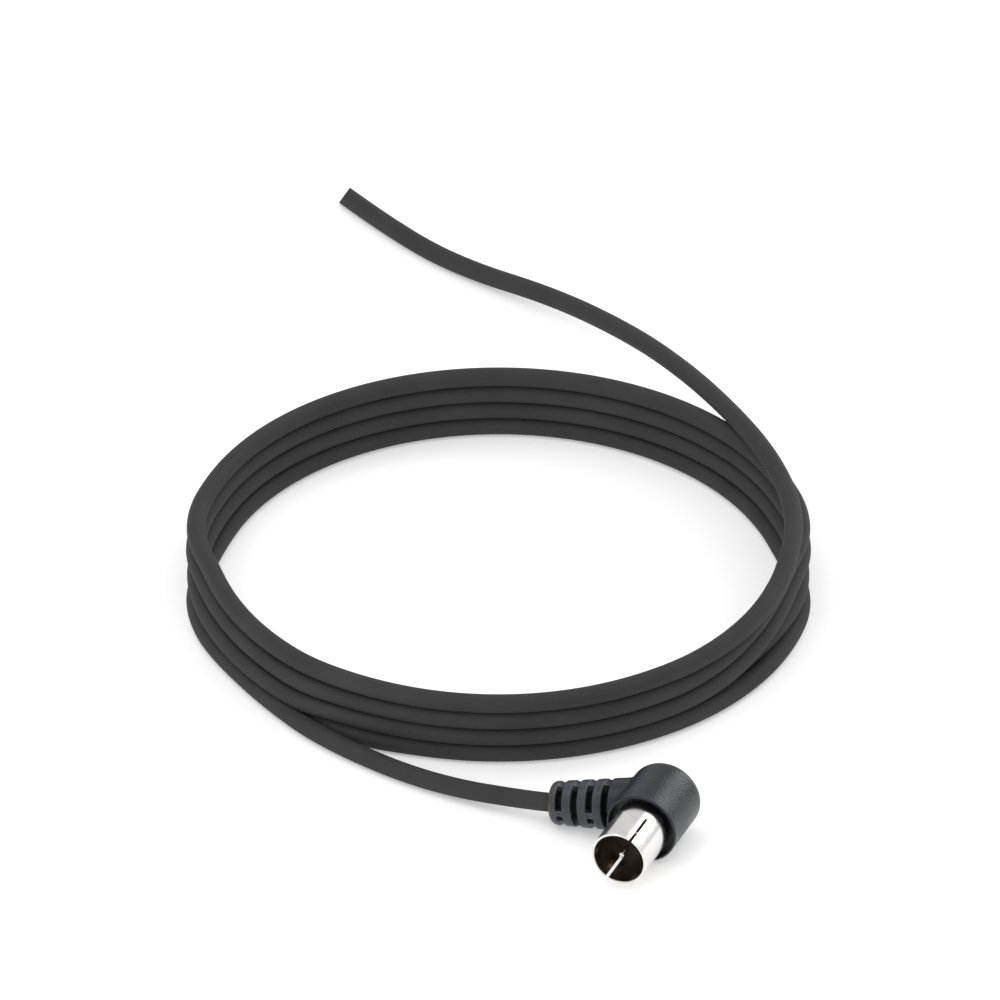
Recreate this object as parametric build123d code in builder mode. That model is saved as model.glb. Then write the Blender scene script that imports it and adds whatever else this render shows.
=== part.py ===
from build123d import *
import math
import os

os.makedirs("parts", exist_ok=True)

# ---------------------------------------------------------------- driving dimensions, mm
cable_d = 3.5             # jacket of the antenna wire
conductor_d = 0.9         # bared core at the plug

# right-angle plug: the sleeve points along -Y, the boot leaves to -X and leans a little forward
head_r = 6.8              # round head, lying on its side on the floor
head_face = 8.45          # from the boot's axis forward to the end face
head_back = 5.4           # from the boot's axis back to the closed end
head_round = 2.3          # rounded edge of the closed end
face_recess_r = 6.4       # ring recess round the sleeve
face_recess = 2.2
boot_len = 20.2           # from the head's axis to the boot's mouth
boot_root_r = 5.4         # at the head's axis
boot_mouth_r = 3.95
boot_round = 1.2
boot_drop = 8.45          # degrees down to the mouth, so that head and mouth both touch the floor
boot_lean = 6.3           # degrees forward, where the wire pulls the soft boot
boot_core_r = 2.15        # left standing inside the slots
slot_first = 9.0          # first slot row from the head's axis
slot_pitch = 2.99
slot_w = 1.25
slot_edge = 0.16          # broken edges along each slot
slot_rows = 4
slot_top, slot_low = 84.0, -50.0   # degrees of a long slot, up from the boot's front
slot_mid, slot_next = 7.5, -27.0   # the same slot with a web in it: the upper part's end and the lower part's
slot_roll = 106.0         # the slots at the back mirror those in front across this angle
groove_depth = 0.28       # shallow round-bottomed groove in line with each slot row
groove_r = 1.0

sleeve_out = 10.8         # sleeve beyond the end face
sleeve_or = 5.3
sleeve_ir = 4.8
sleeve_in = 3.6           # sleeve inside the head
flange_r = 6.0            # rear flange that anchors the sleeve in the moulding
flange_t = 0.8
slit_len = 8.0
slit_w = 0.54
slit_turn = 27.3          # degrees of the slits from upright, towards +X
insulator_depth = 9.4     # from the sleeve's rim down to the insulator
pin_r = 0.5               # free end
shank_r = 0.75            # inside the insulator
boss_r, boss_h = 1.7, 0.8 # raised boss of the insulator round the pin
pin_recess = 1.0          # pin tip inside the rim
pin_tail = 1.3            # pin behind the boot's axis
pin_point = 0.35

premould_r = 4.4
premould_back = 3.0
premould_stub_r = 2.35
premould_stub = 7.6
jacket_start = 5.0        # jacket begins this far along the boot's axis
solder_r = 1.2

# the origin is under the middle of the plug's box: where the boot's axis meets the head's axis
mx, my, mz = 6.7985, 6.925, head_r

# the coil, seen in its own lay: x across, y away, turned and moved to lie behind the plug
lay_turn = 22.3           # degrees
lay_x, lay_y = 29.1, -81.15   # the plug's crossing point, in the lay
coil_r = 55.8             # middle of the turns
coil_in, coil_out = 51.9, 57.65
coil_rows = 4
coil_round = 1.5
hump_r = 54.15            # top strand on the right, on its way to the tail
hump_start, hump_end = 312.0, 13.1
fold_in = 39.9            # the turn-back lies on the floor inside the near wall
fold_start, fold_end = 226.0, 263.0
leg_in = 47.0
leg_end = 350.0

# ---------------------------------------------------------------- frames
ca, sa = math.cos(math.radians(lay_turn)), math.sin(math.radians(lay_turn))
cg, sg = math.cos(math.radians(boot_drop)), math.sin(math.radians(boot_drop))
cl, sl = math.cos(math.radians(boot_lean)), math.sin(math.radians(boot_lean))


def laid(x, y, z):
    """A point of the lay, in the part's frame."""
    dx, dy = x - lay_x, y - lay_y
    return (mx + dx * ca - dy * sa, my + dx * sa + dy * ca, z)


def along_boot(s):
    """A point on the boot's axis, s from the head's axis."""
    return (mx - s * cg * cl, my - s * cg * sl, mz - s * sg)


crossing = Vector(mx, my, mz)
boot_dir = Vector(-cg * cl, -cg * sl, -sg)
boot_up = Vector(-sg * cl, -sg * sl, cg)
boot_front = Vector(sl, -cl, 0)
boot_axis = Axis(crossing, boot_dir)
coil_mid = Vector(*laid(0, 0, 0))
coil_axis = Axis(coil_mid, Vector(0, 0, 1))


def facing(distance):
    """Section plane of the head and sleeve, distance in front of the boot's axis."""
    return Plane(origin=(mx, my - distance, mz), x_dir=(1, 0, 0), z_dir=(0, -1, 0))


def boot_plane(turn):
    """Plane through the boot's axis: x along the axis, y outwards at this angle from the front, up is 90."""
    t = math.radians(turn)
    out = boot_front * math.cos(t) + boot_up * math.sin(t)
    return Plane(origin=crossing, x_dir=boot_dir, z_dir=boot_dir.cross(out))


def coil_plane(angle):
    """Upright plane through the coil's axis at this angle of the lay: x outwards, y up."""
    t = math.radians(angle + lay_turn)
    out = Vector(math.cos(t), math.sin(t), 0)
    return Plane(origin=coil_mid, x_dir=out, z_dir=out.cross(Vector(0, 0, 1)))


def boot_r(s):
    return boot_root_r + (boot_mouth_r - boot_root_r) * s / boot_len


rim = head_face + sleeve_out                  # from the boot's axis to the sleeve's rim
seat = head_face - sleeve_in                  # the sleeve's inner end, and the back of the insulator
insulator_front = rim - insulator_depth
cable_r = cable_d / 2

# ---------------------------------------------------------------- the wire's route, in the lay
lead_route = [
    along_boot(jacket_start),
    along_boot(26.0),
    laid(-14.5, -64.4, cable_r),
    laid(-30.2, -52.8, cable_r),
    laid(-42.8, -37.2, cable_r),
    laid(-51.2, -22.2, cable_r),
]
hump_out = math.radians(hump_end)
tail_route = [
    laid(hump_r * math.cos(hump_out), hump_r * math.sin(hump_out), 15.8),
    laid(hump_r * math.cos(hump_out) - 14.0 * math.sin(hump_out), hump_r * math.sin(hump_out) + 14.0 * math.cos(hump_out), 15.8),
    laid(43.6, 39.2, 15.6),
    laid(35.0, 57.5, 12.2),
    laid(24.5, 76.5, 7.9),
    laid(10.5, 96.9, 3.2),
    laid(-6.2, 110.0, cable_r),
    laid(-18.5, 121.4, cable_r),
    laid(-28.3, 134.5, cable_r),
]


def radii(route):
    """The largest tangent arc at each inner point: 0.45 of the shorter run over the tangent of half the turn."""
    found = []
    for a, b, c in zip(route, route[1:], route[2:]):
        u, v = Vector(*b) - Vector(*a), Vector(*c) - Vector(*b)
        half = math.radians(u.get_angle(v)) / 2
        found.append(0.45 * min(u.length, v.length) / math.tan(half))
    return found


lead_radii, tail_radii = radii(lead_route), radii(tail_route)

with BuildPart() as antenna_lead:
    with BuildLine() as lead_line:
        FilletPolyline(*lead_route, radius=lead_radii)
    with BuildSketch(Plane(origin=lead_line.line @ 0, z_dir=lead_line.line % 0)):
        Circle(cable_r)
    sweep(path=lead_line.line)

with BuildPart() as antenna_tail:
    with BuildLine() as tail_line:
        FilletPolyline(*tail_route, radius=tail_radii)
    with BuildSketch(Plane(origin=tail_line.line @ 0, z_dir=tail_line.line % 0)):
        Circle(cable_r)
    sweep(path=tail_line.line)

for name, route_radii, tube, line in (
    ("antenna_lead", lead_radii, antenna_lead, lead_line),
    ("antenna_tail", tail_radii, antenna_tail, tail_line),
):
    length = sum(edge.length for edge in line.edges())
    section = math.pi * cable_r**2
    print(name, "radii", [round(r, 1) for r in route_radii], "length", round(length, 2),
          "volume", round(tube.part.volume, 2), "section x length", round(section * length, 2))

# ---------------------------------------------------------------- the coil: outer shape of the stacked turns
coil_h = coil_rows * cable_d
with BuildPart() as antenna_coil:
    with BuildSketch(coil_plane(0)):
        with Locations(((coil_in + coil_out) / 2, coil_h / 2)):
            RectangleRounded(coil_out - coil_in, coil_h, coil_round)
    revolve(axis=coil_axis)
    # the turn-back of the wire, flat on the floor behind the near wall
    with BuildSketch(coil_plane(fold_start)):
        with Locations(((fold_in + coil_in + 1.5) / 2, cable_d / 2)):
            Rectangle(coil_in + 1.5 - fold_in, cable_d)
    revolve(axis=coil_axis, revolution_arc=fold_end - fold_start)
    # its return leg, climbing into the wall
    with BuildSketch(coil_plane(fold_end - 1.0)):
        with Locations(((leg_in + coil_in + 1.5) / 2, cable_d)):
            Rectangle(coil_in + 1.5 - leg_in, 2 * cable_d)
    revolve(axis=coil_axis, revolution_arc=leg_end - fold_end + 1.0)
    # the top strand on the right, up to where the tail begins
    with BuildSketch(coil_plane(hump_start)):
        with Locations((hump_r, coil_h + cable_r)):
            Rectangle(cable_d, cable_d + 0.1)
    revolve(axis=coil_axis, revolution_arc=hump_end + 360 - hump_start)
    # the lead runs into the lowest row on the left
    add(antenna_lead.part, mode=Mode.SUBTRACT)

# ---------------------------------------------------------------- contact parts, on the sleeve's axis
with BuildPart() as contact_sleeve:
    with BuildSketch(facing(seat)):
        Circle(sleeve_or)
        Circle(sleeve_ir, mode=Mode.SUBTRACT)
    extrude(amount=rim - seat)
    with BuildSketch(facing(seat)):
        Circle(flange_r)
        Circle(sleeve_or - 0.2, mode=Mode.SUBTRACT)
    extrude(amount=flange_t)
    rim_edges = contact_sleeve.edges().filter_by(GeomType.CIRCLE).group_by(Axis.Y)[0]
    chamfer(rim_edges, length=0.1)
    # two opposite spring slits, square-ended, open at the rim
    slit_plane = Plane(
        origin=(mx, my - rim + slit_len / 2 - 0.5, mz),
        x_dir=(0, -1, 0),
        z_dir=(math.sin(math.radians(slit_turn)), 0, math.cos(math.radians(slit_turn))),
    )
    with BuildSketch(slit_plane):
        Rectangle(slit_len + 1.0, slit_w)
    extrude(amount=sleeve_or + 1, both=True, mode=Mode.SUBTRACT)

with BuildPart() as centre_pin:
    with BuildSketch(facing(-pin_tail)):
        Circle(shank_r)
    extrude(amount=pin_tail + insulator_front + boss_h)
    with BuildSketch(facing(insulator_front)):
        Circle(pin_r)
    extrude(amount=rim - pin_recess - insulator_front)
    chamfer(centre_pin.edges().group_by(Axis.Y)[0], length=pin_point)

with BuildPart() as insulator:
    with BuildSketch(facing(seat)):
        Circle(sleeve_ir)
    extrude(amount=insulator_front - seat)
    with BuildSketch(facing(insulator_front)):
        Circle(boss_r)
    extrude(amount=boss_h)
    with BuildSketch(facing(seat)):
        Circle(shank_r)
    extrude(amount=insulator_front + boss_h - seat, mode=Mode.SUBTRACT)

with BuildPart() as conductor_end:
    with BuildSketch(Plane(origin=along_boot(shank_r + 0.05), z_dir=boot_dir)):
        Circle(conductor_d / 2)
    extrude(amount=jacket_start - shank_r - 0.05)

with BuildPart() as solder_joint:
    with Locations((mx, my, mz)):
        Sphere(solder_r)
    add(centre_pin.part, mode=Mode.SUBTRACT)
    add(conductor_end.part, mode=Mode.SUBTRACT)

with BuildPart() as inner_premould:
    with BuildSketch(facing(-premould_back)):
        Circle(premould_r)
    extrude(amount=premould_back + seat)
    with BuildSketch(Plane(origin=along_boot(0), z_dir=boot_dir)):
        Circle(premould_stub_r)
    extrude(amount=premould_stub)
    for inner in (centre_pin, conductor_end, antenna_lead):
        add(inner.part, mode=Mode.SUBTRACT)
    with Locations((mx, my, mz)):
        Sphere(solder_r, mode=Mode.SUBTRACT)

# ---------------------------------------------------------------- the moulding: round head and slotted boot in one piece
with BuildPart() as plug_overmould:
    with BuildSketch(facing(-head_back)):
        Circle(head_r)
    extrude(amount=head_back + head_face)
    fillet(plug_overmould.edges().filter_by(GeomType.CIRCLE).sort_by(Axis.Y)[-1], radius=head_round)
    fillet(plug_overmould.edges().filter_by(GeomType.CIRCLE).sort_by(Axis.Y)[0], radius=0.25)
    # boot, tapering to a rounded mouth
    with BuildSketch(boot_plane(90)):
        with BuildLine():
            Polyline((0, 0), (0, boot_root_r), (boot_len, boot_mouth_r), (boot_len, 0), close=True)
        make_face()
        fillet(vertices().filter_by(lambda v: v.X > boot_len - 0.01 and v.Y > 1), radius=boot_round)
    revolve(axis=boot_axis)
    joint_edges = plug_overmould.edges().filter_by(
        lambda e: e.geom_type not in (GeomType.CIRCLE, GeomType.LINE)
        and 3.5 < (e.center() - crossing).dot(boot_dir) < 8.5
    )
    fillet(joint_edges, radius=1.0)
    # slot rows: long slots, and slots with a web in them, in turn, each over a shallow groove
    for row in range(slot_rows):
        s = slot_first + row * slot_pitch
        with BuildSketch(boot_plane(0)):
            with Locations((s, boot_r(s) + groove_r - groove_depth)):
                Circle(groove_r)
        revolve(axis=boot_axis, mode=Mode.SUBTRACT)
        arcs = [(slot_low, slot_top)] if row % 2 == 0 else [(slot_mid, slot_top), (slot_next, -slot_mid)]
        arcs += [(2 * slot_roll - end, 2 * slot_roll - start) for start, end in arcs]
        for start, end in arcs:
            near, far = s - slot_w / 2, s + slot_w / 2
            with BuildSketch(boot_plane(start)):
                with BuildLine():
                    Polyline(
                        (near, boot_core_r),
                        (far, boot_core_r),
                        (far, boot_r(far) - slot_edge),
                        (far + 2 * slot_edge, boot_r(far) + slot_edge),
                        (far + 2 * slot_edge, boot_root_r + 1),
                        (near - 2 * slot_edge, boot_root_r + 1),
                        (near - 2 * slot_edge, boot_r(near) + slot_edge),
                        (near, boot_r(near) - slot_edge),
                        close=True,
                    )
                make_face()
            revolve(axis=boot_axis, revolution_arc=end - start, mode=Mode.SUBTRACT)
    # ring recess, sleeve seat, and the room for what it was moulded round
    with BuildSketch(facing(head_face - face_recess)):
        Circle(face_recess_r)
    extrude(amount=face_recess + 1, mode=Mode.SUBTRACT)
    with BuildSketch(facing(seat)):
        Circle(sleeve_or)
    extrude(amount=sleeve_in + 1, mode=Mode.SUBTRACT)
    with BuildSketch(facing(seat)):
        Circle(flange_r)
    extrude(amount=flange_t, mode=Mode.SUBTRACT)
    with BuildSketch(facing(-premould_back)):
        Circle(premould_r)
    extrude(amount=premould_back + seat, mode=Mode.SUBTRACT)
    with BuildSketch(Plane(origin=along_boot(0), z_dir=boot_dir)):
        Circle(premould_stub_r)
    extrude(amount=premould_stub, mode=Mode.SUBTRACT)
    add(antenna_lead.part, mode=Mode.SUBTRACT)

# ---------------------------------------------------------------- labels and files
pieces = {
    "plug_overmould": plug_overmould,
    "inner_premould": inner_premould,
    "contact_sleeve": contact_sleeve,
    "insulator": insulator,
    "centre_pin": centre_pin,
    "solder_joint": solder_joint,
    "conductor_end": conductor_end,
    "antenna_lead": antenna_lead,
    "antenna_coil": antenna_coil,
    "antenna_tail": antenna_tail,
}
for name, piece in pieces.items():
    piece.part.label = name
    export_step(piece.part, f"parts/{name}.step")
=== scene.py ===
import math

import bpy
import numpy as np
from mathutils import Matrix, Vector


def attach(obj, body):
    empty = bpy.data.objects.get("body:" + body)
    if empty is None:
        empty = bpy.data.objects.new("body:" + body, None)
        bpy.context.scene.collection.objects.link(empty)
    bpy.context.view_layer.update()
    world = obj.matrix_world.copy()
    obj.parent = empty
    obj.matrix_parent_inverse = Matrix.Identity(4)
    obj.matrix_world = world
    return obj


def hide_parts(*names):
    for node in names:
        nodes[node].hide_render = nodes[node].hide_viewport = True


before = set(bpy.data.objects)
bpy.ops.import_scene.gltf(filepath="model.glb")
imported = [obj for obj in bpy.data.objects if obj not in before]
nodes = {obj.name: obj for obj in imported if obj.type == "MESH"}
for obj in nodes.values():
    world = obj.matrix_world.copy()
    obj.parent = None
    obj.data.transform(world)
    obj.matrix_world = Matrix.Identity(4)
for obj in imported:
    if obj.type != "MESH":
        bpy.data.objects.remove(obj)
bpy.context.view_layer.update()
scene = bpy.context.scene

MM = 0.001

# ---------------------------------------------------------------- the lay of the wire, in millimetres
# x runs across the view, y away from the viewer, z up; the coil's middle is at 0, 0
LAY_TURN = math.radians(22.3)
PLUG_X, PLUG_Y = 29.1, -81.15         # the plug's crossing point, in the lay
MX, MY, MZ = 6.7985, 6.925, 6.8       # the same point in the part's frame
BOOT_DROP, BOOT_LEAN = math.radians(8.45), math.radians(6.3)
WIRE_D = 3.5
WIRE_R = WIRE_D / 2
CA, SA = math.cos(LAY_TURN), math.sin(LAY_TURN)
CG, SG = math.cos(BOOT_DROP), math.sin(BOOT_DROP)
CL, SL = math.cos(BOOT_LEAN), math.sin(BOOT_LEAN)
ELEVATION = math.radians(32.65)       # of the camera, which looks along the lay's y
AHEAD = Vector((-SA * math.cos(ELEVATION), CA * math.cos(ELEVATION), -math.sin(ELEVATION)))


def laid(x, y, z):
    """A point of the lay, in the part's frame, in metres."""
    dx, dy = x - PLUG_X, y - PLUG_Y
    return Vector(((MX + dx * CA - dy * SA) * MM, (MY + dx * SA + dy * CA) * MM, z * MM))


def along_boot(s):
    """A point on the boot's axis, s millimetres from the head's axis, in metres."""
    return Vector(((MX - s * CG * CL) * MM, (MY - s * CG * SL) * MM, (MZ - s * SG) * MM))


def eased(t):
    t = max(0.0, min(1.0, t))
    return t * t * (3 - 2 * t)


def oval(across, deep, angle):
    """Plan radius of an oval at an angle in degrees."""
    a = math.radians(angle)
    return 1 / math.hypot(math.cos(a) / across, math.sin(a) / deep)


def behind(angle, left, right, half):
    """0 in the near half of a turn and 1 in the far half, eased over its two sides."""
    angle %= 360
    if 90 <= angle <= 270:
        return eased((left + half - angle) / (2 * half))
    return eased(((angle - 360 if angle > 180 else angle) - right + half) / (2 * half))


def swell(angle, middle):
    off = (angle - middle + 180) % 360 - 180
    return math.exp(-((off / 9.0) ** 2))


def between(table, row):
    low = min(int(row), len(table) - 2)
    return table[low] + (table[low + 1] - table[low]) * (row - low)


DEEP = 55.5                                    # half the coil's depth, at the middle of the wire
NEAR = [55.85, 55.2, 54.0, 53.2, 53.2]         # half its width in front, row by row from the floor
FAR = [53.2, 54.5, 55.3, 55.55, 55.55]         # and behind
CLIMB_FROM, CLIMB_TO = 306.0, 350.0            # where each upper turn climbs one row
STEP = 10.0                                    # degrees between the turns' points
GROW = 1 / 0.9962                              # the curve lies this much inside such points


def on_turn(radius, angle, z):
    a = math.radians(angle)
    return laid(radius * math.cos(a), radius * math.sin(a), z)


def lowest(angle):
    """Plan radius of the lowest turn."""
    share = behind(angle, 176, 4, 12)
    radius = (1 - share) * oval(NEAR[0], DEEP, angle) + share * oval(FAR[0], DEEP, angle)
    return radius + 0.25 * (swell(angle, 185) + swell(angle, 355))


def wire_points():
    """The wire's points in order: lead, lowest turn, turn-back, upper turns and tail."""
    points = [along_boot(5.0), along_boot(15.0), along_boot(22.5)]
    points += [laid(x, y, WIRE_R) for x, y in ((-12.4, -66.2), (-31.4, -51.65), (-42.05, -38.0), (-51.6, -21.6))]
    # lowest turn, from the left round the far side and the right to the front
    angle = 192.0
    while angle > -103:
        points.append(on_turn(lowest(angle) * GROW, angle, WIRE_R))
        angle -= STEP
    # turn-back on the floor inside the front of the coil, and the leg that runs back to its wall
    points += [laid(x, y, WIRE_R) for x, y in (
        (-19.1, -52.4), (-24.2, -50.6), (-28.3, -48.4), (-31.6, -45.75), (-34.15, -42.55), (-34.65, -38.5), (-32.8, -34.85),
        (-29.2, -32.8), (-25.05, -32.95), (-21.5, -35.3), (-16.6, -38.7), (-9.5, -42.5), (2.5, -46.9), (14.5, -48.6),
    )]
    # upper turns, the other way round, each one row higher than the last
    top = {1390: 54.8, 1400: 55.05, 1410: 55.2, 1420: 54.8, 1430: 54.1, 1440: 54.2}
    angle = 300.0
    while angle < 1445:
        row = sum(eased((angle - 360 * k - CLIMB_FROM) / (CLIMB_TO - CLIMB_FROM)) for k in range(4))
        share = behind(angle, 183, -3, 11)
        radius = (1 - share) * oval(between(NEAR, row), DEEP, angle) + share * oval(between(FAR, row), DEEP, angle)
        radius += (0.4 if row < 2.5 else 0.65) * (swell(angle, 176) + swell(angle, 4))
        if 0.9 < row < 2.1:
            radius += 0.45 * (swell(angle, 180) + swell(angle, 0))
        if angle < 370:
            # the first climb lies against the lowest turn
            radius = min(radius, lowest(angle) - math.sqrt(max(0.0, 3.46 ** 2 - (WIRE_D * row) ** 2)))
        radius = top.get(round(angle), radius)
        # the upper rows lean out and sink a little where the lead leaves the row below them
        slack = max(0.0, 1.35 - 0.35 * row) * swell(angle, 229) if angle > 500 else 0.0
        sunk = 0.17 if angle > 1435 else 0.0          # the tail's start, on the row inside which it lies
        points.append(on_turn((radius + 0.9 * slack) * GROW, angle, WIRE_R + WIRE_D * row - 0.5 * slack - sunk))
        angle += STEP
    points += [laid(*p) for p in (
        (53.1, 12.2, 15.33), (48.85, 25.4, 15.7), (42.75, 38.35, 15.6), (34.85, 57.15, 12.2), (25.0, 76.7, 7.9),
        (10.8, 97.0, 3.2), (-6.1, 109.2, WIRE_R), (-18.3, 121.0, WIRE_R), (-28.67, 134.96, WIRE_R),
    )]
    return points


def centreline(points):
    """The points of one smooth open spline with these control points."""
    data = bpy.data.curves.new("wire_route", "CURVE")
    data.dimensions = "3D"
    data.resolution_u = 10
    spline = data.splines.new("NURBS")
    spline.points.add(len(points) - 1)
    for q, p in zip(spline.points, points):
        q.co = (*p, 1.0)
    spline.order_u = 3
    spline.use_endpoint_u = True
    holder = bpy.data.objects.new("wire_route", data)
    mesh = bpy.data.meshes.new_from_object(holder)
    line = np.array([v.co for v in mesh.vertices], float)
    bpy.data.meshes.remove(mesh)
    bpy.data.curves.remove(data)
    return line


# ---------------------------------------------------------------- materials
def new_material(name):
    """(material, its nodes, its links, its shader)"""
    made = bpy.data.materials.new(name)
    made.use_nodes = True
    tree = made.node_tree
    return made, tree.nodes, tree.links, tree.nodes["Principled BSDF"]


def place(nodes_, links, scale=(1, 1, 1), attribute=None):
    """Coordinates in millimetres, stretched by scale."""
    if attribute:
        source = nodes_.new("ShaderNodeAttribute")
        source.attribute_name = attribute
        out, unit = source.outputs["Vector"], 1.0
    else:
        source = nodes_.new("ShaderNodeTexCoord")
        out, unit = source.outputs["Object"], 1000.0
    mapping = nodes_.new("ShaderNodeMapping")
    mapping.inputs["Scale"].default_value = [unit * s for s in scale]
    links.new(out, mapping.inputs["Vector"])
    return mapping.outputs["Vector"]


def noise(nodes_, links, vector, scale, detail=2.0, rough=0.5):
    made = nodes_.new("ShaderNodeTexNoise")
    made.inputs["Scale"].default_value = scale
    made.inputs["Detail"].default_value = detail
    made.inputs["Roughness"].default_value = rough
    links.new(vector, made.inputs["Vector"])
    return made.outputs["Fac"]


def ramp(nodes_, links, value, stops):
    made = nodes_.new("ShaderNodeValToRGB")
    elements = made.color_ramp.elements
    while len(elements) < len(stops):
        elements.new(0.5)
    for e, (at, colour) in zip(elements, stops):
        e.position = at
        e.color = (*colour, 1.0) if hasattr(colour, "__len__") else (colour, colour, colour, 1.0)
    links.new(value, made.inputs["Fac"])
    return made.outputs["Color"]


def spread(nodes_, links, value, low, high, from_low=0.3, from_high=0.7):
    made = nodes_.new("ShaderNodeMapRange")
    made.inputs["From Min"].default_value = from_low
    made.inputs["From Max"].default_value = from_high
    made.inputs["To Min"].default_value = low
    made.inputs["To Max"].default_value = high
    links.new(value, made.inputs["Value"])
    return made.outputs["Result"]


def total(nodes_, links, a, b, share=1.0):
    made = nodes_.new("ShaderNodeMath")
    made.operation = "MULTIPLY_ADD"
    links.new(b, made.inputs[0])
    made.inputs[1].default_value = share
    links.new(a, made.inputs[2])
    return made.outputs["Value"]


def raise_by(nodes_, links, shader, height, depth_mm, strength=1.0):
    made = nodes_.new("ShaderNodeBump")
    made.inputs["Strength"].default_value = strength
    made.inputs["Distance"].default_value = depth_mm * MM
    links.new(height, made.inputs["Height"])
    links.new(made.outputs["Normal"], shader.inputs["Normal"])


def from_axis(nodes_, links):
    """Distance from the sleeve's axis, in millimetres."""
    source = nodes_.new("ShaderNodeTexCoord")
    mapping = nodes_.new("ShaderNodeMapping")
    mapping.inputs["Location"].default_value = (-MX, 0, -MZ)
    mapping.inputs["Scale"].default_value = (1000, 0, 1000)
    links.new(source.outputs["Object"], mapping.inputs["Vector"])
    length = nodes_.new("ShaderNodeVectorMath")
    length.operation = "LENGTH"
    links.new(mapping.outputs["Vector"], length.inputs[0])
    return length.outputs["Value"]


def about_boot(nodes_, links):
    """Distance along the boot's axis from the head's, and distance from it, in millimetres."""
    source = nodes_.new("ShaderNodeTexCoord")
    mapping = nodes_.new("ShaderNodeMapping")
    mapping.vector_type = "TEXTURE"
    mapping.inputs["Location"].default_value = (MX * MM, MY * MM, MZ * MM)
    mapping.inputs["Rotation"].default_value = (0, BOOT_DROP, math.pi + BOOT_LEAN)
    mapping.inputs["Scale"].default_value = (MM, MM, MM)
    links.new(source.outputs["Object"], mapping.inputs["Vector"])
    parts = nodes_.new("ShaderNodeSeparateXYZ")
    links.new(mapping.outputs["Vector"], parts.inputs["Vector"])
    flat = nodes_.new("ShaderNodeVectorMath")
    flat.operation = "MULTIPLY"
    flat.inputs[1].default_value = (0, 1, 1)
    links.new(mapping.outputs["Vector"], flat.inputs[0])
    length = nodes_.new("ShaderNodeVectorMath")
    length.operation = "LENGTH"
    links.new(flat.outputs["Vector"], length.inputs[0])
    return parts.outputs["X"], length.outputs["Value"]


def edges(nodes_, links, reach_mm):
    """0 on open surface and 1 along edges."""
    soft = nodes_.new("ShaderNodeBevel")
    soft.samples = 8
    soft.inputs["Radius"].default_value = reach_mm * MM
    plain = nodes_.new("ShaderNodeNewGeometry")
    dot = nodes_.new("ShaderNodeVectorMath")
    dot.operation = "DOT_PRODUCT"
    links.new(soft.outputs["Normal"], dot.inputs[0])
    links.new(plain.outputs["Normal"], dot.inputs[1])
    return spread(nodes_, links, dot.outputs["Value"], 1.0, 0.0, 0.84, 0.985)


def product(nodes_, links, a, b):
    made = nodes_.new("ShaderNodeMath")
    made.operation = "MULTIPLY"
    links.new(a, made.inputs[0])
    links.new(b, made.inputs[1])
    return made.outputs["Value"]


def mixed(nodes_, links, share, a, b):
    made = nodes_.new("ShaderNodeMix")
    made.data_type = "RGBA"
    links.new(share, made.inputs["Factor"])
    links.new(a, made.inputs[6])
    links.new(b, made.inputs[7])
    return made.outputs[2]


def jacket_material():
    made, n, l, shader = new_material("jacket_pvc")
    across = place(n, l, attribute="wire")
    drawn = place(n, l, (0.06, 3.2, 3.2), attribute="wire")
    streaks = noise(n, l, drawn, 1.0, 3.0, 0.55)
    cloud = noise(n, l, across, 0.09, 2.0)
    grain = noise(n, l, across, 7.0, 2.0)
    tone = total(n, l, cloud, streaks, 0.35)
    l.new(ramp(n, l, tone, [(0.42, (0.042, 0.042, 0.0425)), (0.92, (0.054, 0.054, 0.0545))]), shader.inputs["Base Color"])
    l.new(spread(n, l, total(n, l, cloud, grain, 0.4), 0.56, 0.70, 0.45, 0.95), shader.inputs["Roughness"])
    shader.inputs["Specular IOR Level"].default_value = 0.06
    raise_by(n, l, shader, total(n, l, streaks, grain, 0.5), 0.012, 0.5)
    return made


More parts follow.
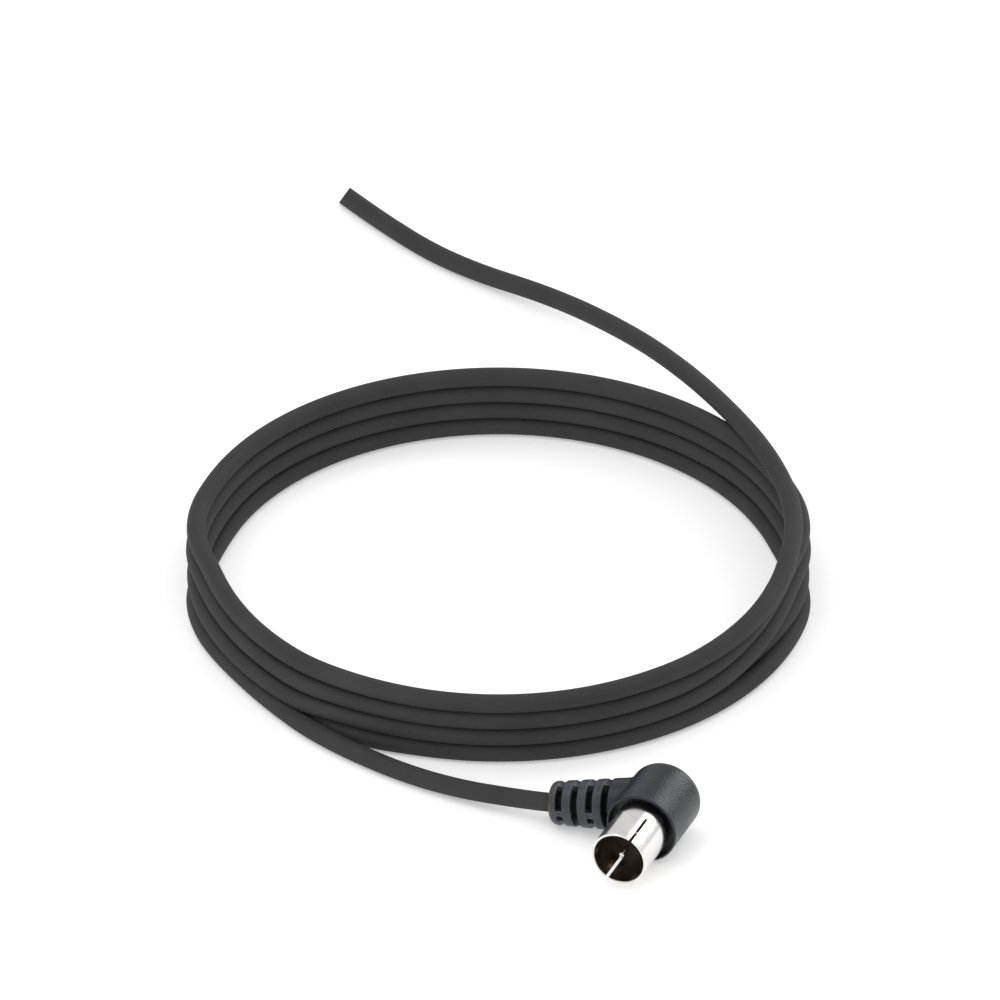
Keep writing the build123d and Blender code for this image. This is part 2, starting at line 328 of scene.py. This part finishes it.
def moulding_material():
    made, n, l, shader = new_material("moulded_pvc")
    at = place(n, l)
    grain = noise(n, l, at, 2.6, 3.0, 0.6)
    pits = n.new("ShaderNodeTexVoronoi")
    pits.feature = "SMOOTH_F1"
    pits.inputs["Scale"].default_value = 2.2
    pits.inputs["Smoothness"].default_value = 0.6
    l.new(at, pits.inputs["Vector"])
    cloud = noise(n, l, at, 0.16, 2.0)
    tone = total(n, l, cloud, grain, 0.25)
    colour = ramp(n, l, tone, [(0.4, (0.0045, 0.0062, 0.0125)), (0.85, (0.0090, 0.0118, 0.0215))])
    # the boot: its ribs are painted paler as a painted sheen, most along their edges as a painted highlight, and the
    # bottoms of its slots are dull and painted dark as painted shade
    run_, out = about_boot(n, l)
    on_boot = spread(n, l, run_, 0.0, 1.0, 7.2, 9.5)
    # painted sheen: the ribs' colour is made paler where light would catch them
    painted_rib_sheen = ramp(n, l, tone, [(0.4, (0.024, 0.028, 0.036)), (0.85, (0.042, 0.047, 0.058))])
    # painted highlight: a pale colour along the slots' rims and other edges, where glints would fall
    painted_edge_highlight = ramp(n, l, tone, [(0.4, (0.11, 0.12, 0.14)), (0.85, (0.16, 0.175, 0.20))])
    # painted shade: a near-black colour at the bottoms of the slots
    sunk = ramp(n, l, tone, [(0.4, (0.0008, 0.0010, 0.0016)), (0.85, (0.0014, 0.0017, 0.0026))])
    rib = mixed(n, l, edges(n, l, 0.36), mixed(n, l, spread(n, l, run_, 0.0, 1.0, 9.0, 11.0), colour, painted_rib_sheen), painted_edge_highlight)
    boot = mixed(n, l, spread(n, l, out, 0.0, 1.0, 2.5, 3.0), sunk, rib)
    l.new(mixed(n, l, on_boot, colour, boot), shader.inputs["Base Color"])
    gloss = spread(n, l, total(n, l, cloud, grain, 0.8), 0.25, 0.40, 0.6, 1.2)
    dull = product(n, l, on_boot, spread(n, l, out, 0.5, 0.0, 2.5, 3.0))
    l.new(total(n, l, gloss, dull), shader.inputs["Roughness"])
    shader.inputs["Specular IOR Level"].default_value = 0.42
    raise_by(n, l, shader, total(n, l, grain, pits.outputs["Distance"], 0.8), 0.075, 0.8)
    return made


def nickel_material():
    made, n, l, shader = new_material("nickel_plate")
    drawn = place(n, l, (5.0, 0.12, 5.0))
    streaks = noise(n, l, drawn, 1.0, 3.0, 0.6)
    cloud = noise(n, l, place(n, l), 0.35, 2.0)
    tone = total(n, l, cloud, streaks, 0.3)
    outside = ramp(n, l, tone, [(0.4, (0.73, 0.715, 0.685)), (0.9, (0.81, 0.795, 0.77))])
    # the bore's wall: a brass tone, darkened further as painted shade deep in the bore
    brass_bore_and_painted_shade = ramp(n, l, tone, [(0.4, (0.43, 0.36, 0.28)), (0.9, (0.58, 0.50, 0.40))])
    l.new(mixed(n, l, spread(n, l, from_axis(n, l), 0.0, 1.0, 4.84, 4.92), brass_bore_and_painted_shade, outside), shader.inputs["Base Color"])
    l.new(spread(n, l, total(n, l, cloud, streaks, 0.7), 0.15, 0.25, 0.6, 1.15), shader.inputs["Roughness"])
    shader.inputs["Metallic"].default_value = 1.0
    raise_by(n, l, shader, streaks, 0.002, 0.5)
    return made


def plain_material(name, dark, light, low, high, scale, metallic=0.0, depth=0.02):
    """A cast, moulded or drawn surface with its own clouding, gloss and grain."""
    made, n, l, shader = new_material(name)
    at = place(n, l)
    cloud, grain = noise(n, l, at, scale * 0.15, 2.0), noise(n, l, at, scale, 3.0, 0.6)
    tone = total(n, l, cloud, grain, 0.4)
    l.new(ramp(n, l, tone, [(0.45, dark), (0.95, light)]), shader.inputs["Base Color"])
    l.new(spread(n, l, tone, low, high, 0.45, 0.95), shader.inputs["Roughness"])
    shader.inputs["Metallic"].default_value = metallic
    raise_by(n, l, shader, grain, depth, 0.5)
    return made


def coat(node, made):
    mesh = nodes[node].data
    mesh.materials.clear()
    mesh.materials.append(made)


jacket = jacket_material()
copper = plain_material("bare_copper", (0.60, 0.27, 0.15), (0.78, 0.42, 0.27), 0.22, 0.36, 5.0, 1.0, 0.008)
coat("plug_overmould", moulding_material())
coat("contact_sleeve", nickel_material())
coat("insulator", plain_material("insulator_resin", (0.012, 0.009, 0.007), (0.024, 0.018, 0.013), 0.36, 0.5, 3.0))
coat("centre_pin", plain_material("pin_plate", (0.74, 0.72, 0.68), (0.84, 0.82, 0.79), 0.1, 0.2, 6.0, 1.0, 0.003))
coat("inner_premould", plain_material("premould_resin", (0.5, 0.5, 0.47), (0.6, 0.6, 0.57), 0.4, 0.55, 2.5))
coat("solder_joint", plain_material("solder_tin", (0.5, 0.5, 0.5), (0.64, 0.64, 0.63), 0.3, 0.45, 4.0, 1.0))
coat("conductor_end", copper)

# ---------------------------------------------------------------- the wire
SIDES = 32
line = centreline(wire_points())
tangents = np.gradient(line, axis=0)
tangents /= np.linalg.norm(tangents, axis=1)[:, None]
run = np.concatenate([[0], np.cumsum(np.linalg.norm(np.diff(line, axis=0), axis=1))])
wire_length = float(run[-1])

side = np.cross(tangents[0], (0, 0, 1.0))
side /= np.linalg.norm(side)
turn = np.arange(SIDES) * 2 * math.pi / SIDES
round_unit = np.stack([np.cos(turn), np.sin(turn)], axis=1)
CUT_BACK = 2.6 * MM       # the last rings before this give way to those of the slanted cut
rings = []                # (middle, side, up, radius, distance along the wire, slant)
for i in range(len(line)):
    side = side - tangents[i] * (side @ tangents[i])
    side /= np.linalg.norm(side)
    if run[i] < wire_length - CUT_BACK:
        rings.append((line[i], side, np.cross(tangents[i], side), WIRE_R * MM, run[i], 0.0))

# the cut end: a broken edge, a slanted face, and the hole that the strands stand in
CORE_R = 0.47
end, away = line[-1], tangents[-1]
end_side, end_up = side, np.cross(away, side)
cut = away - np.array(AHEAD) * (away @ np.array(AHEAD))
cut /= np.linalg.norm(cut)


def to_cut(offset):
    """How far along the wire the slanted face lies, at an offset from the wire's middle."""
    return -(offset @ cut) / (away @ cut)


for back, radius in ((0.12, WIRE_R), (0.04, WIRE_R - 0.03), (0.0, WIRE_R - 0.11), (0.0, 1.1), (0.02, CORE_R + 0.05), (0.06, CORE_R), (0.8, CORE_R)):
    rings.append((end - away * back * MM, end_side, end_up, radius * MM, wire_length - back * MM, 1.0))

verts, faces, wire_at = [], [], []
for middle, x_dir, y_dir, radius, s, slant in rings:
    for cx, cy in round_unit:
        offset = radius * (cx * x_dir + cy * y_dir)
        shift = slant * to_cut(offset)
        verts.append(middle + offset + away * shift)
        wire_at.append(((s + shift) / MM, radius / MM * cx, radius / MM * cy))
for i in range(len(rings) - 1):
    for k in range(SIDES):
        a, b = i * SIDES + k, i * SIDES + (k + 1) % SIDES
        faces.append((a, b, b + SIDES, a + SIDES))
faces.append(tuple(range(SIDES - 1, -1, -1)))
faces.append(tuple((len(rings) - 1) * SIDES + k for k in range(SIDES)))
mesh = bpy.data.meshes.new("antenna_wire")
mesh.from_pydata([tuple(v) for v in verts], [], faces)
held = mesh.attributes.new("wire", "FLOAT_VECTOR", "POINT")
held.data.foreach_set("vector", np.array(wire_at, np.float32).ravel())
mesh.shade_smooth()
mesh.set_sharp_from_angle(angle=math.radians(50))
mesh.materials.append(jacket)
mesh.validate()
wire = bpy.data.objects.new("antenna_wire", mesh)
scene.collection.objects.link(wire)

# the seven strands of the core, at the cut end
verts, faces = [], []
STRAND_R, STRAND_SIDES = 0.15, 14
for strand in range(7):
    out = 0.0 if strand == 0 else 2 * STRAND_R
    a = strand * math.pi / 3 + 0.2
    middle = end + (end_side * math.cos(a) + end_up * math.sin(a)) * out * MM
    proud = (0.02, -0.03, 0.05, 0.0, 0.03, -0.02, 0.01)[strand]
    first = len(verts)
    levels = ((-0.75, STRAND_R - 0.005), (proud - 0.03, STRAND_R - 0.005), (proud, STRAND_R - 0.04))
    for z, radius in levels:
        for k in range(STRAND_SIDES):
            t = 2 * math.pi * k / STRAND_SIDES
            rim = middle + (end_side * math.cos(t) + end_up * math.sin(t)) * radius * MM
            verts.append(tuple(rim + away * (z * MM + to_cut(rim - end))))
    for level in range(2):
        for k in range(STRAND_SIDES):
            p, q = first + level * STRAND_SIDES + k, first + level * STRAND_SIDES + (k + 1) % STRAND_SIDES
            faces.append((p, q, q + STRAND_SIDES, p + STRAND_SIDES))
    faces.append(tuple(first + k for k in range(STRAND_SIDES - 1, -1, -1)))
    faces.append(tuple(first + 2 * STRAND_SIDES + k for k in range(STRAND_SIDES)))
mesh = bpy.data.meshes.new("core_strands")
mesh.from_pydata(verts, [], faces)
mesh.shade_smooth()
mesh.set_sharp_from_angle(angle=math.radians(40))
mesh.materials.append(copper)
strands = bpy.data.objects.new("core_strands", mesh)
scene.collection.objects.link(strands)

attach(wire, "root")
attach(strands, "root")
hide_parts("antenna_lead", "antenna_coil", "antenna_tail")

# ---------------------------------------------------------------- floor, light and camera
floor_mesh = bpy.data.meshes.new("floor")
reach = 4.0
floor_mesh.from_pydata([(-reach, -reach, 0), (reach, -reach, 0), (reach, reach, 0), (-reach, reach, 0)], [], [(0, 1, 2, 3)])
floor = bpy.data.objects.new("floor", floor_mesh)
scene.collection.objects.link(floor)
made, n, l, shader = new_material("floor_paper")
l.new(ramp(n, l, noise(n, l, place(n, l), 0.004, 2.0), [(0.3, 0.90), (0.7, 0.92)]), shader.inputs["Base Color"])
shader.inputs["Roughness"].default_value = 0.9
shader.inputs["Emission Color"].default_value = (1.0, 1.0, 1.0, 1.0)
shader.inputs["Emission Strength"].default_value = 0.30
shader.inputs["Specular IOR Level"].default_value = 0.1
floor_mesh.materials.append(made)

world = bpy.data.worlds.new("studio")
scene.world = world
world.use_nodes = True
world.node_tree.nodes["Background"].inputs["Color"].default_value = (1.0, 1.0, 1.0, 1.0)
world.node_tree.nodes["Background"].inputs["Strength"].default_value = 0.80


def softbox(name, at, towards, size, power):
    data = bpy.data.lights.new(name, "AREA")
    data.shape = "RECTANGLE"
    data.size, data.size_y = size
    data.energy = power
    made = bpy.data.objects.new(name, data)
    made.location = at
    made.rotation_mode = "QUATERNION"
    made.rotation_quaternion = (Vector(towards) - Vector(at)).to_track_quat("-Z", "Y")
    scene.collection.objects.link(made)


plug_at = laid(PLUG_X, PLUG_Y, MZ)
softbox("key", laid(PLUG_X + 590, PLUG_Y + 600, 430), plug_at, (0.42, 0.75), 2.6)
softbox("top", laid(-420, -60, 900), laid(0, 20, 0), (0.8, 0.7), 1.8)
softbox("fill", laid(PLUG_X - 424, PLUG_Y - 680, 520), laid(PLUG_X - 14, PLUG_Y + 4, 5), (0.18, 0.16), 0.6)

camera = bpy.data.cameras.new("camera")
camera.sensor_width = 36.0
camera.lens = 1600.0
camera.clip_start, camera.clip_end = 0.1, 40.0
eye = bpy.data.objects.new("camera", camera)
distance = 0.18416 * camera.lens / camera.sensor_width
eye.location = laid(0.28, 32.5, 0.0) - AHEAD * distance
eye.rotation_mode = "QUATERNION"
eye.rotation_quaternion = AHEAD.to_track_quat("-Z", "Y")
scene.collection.objects.link(eye)
scene.camera = eye
scene.view_settings.view_transform = "Standard"

# ---------------------------------------------------------------- the end
bpy.context.view_layer.update()
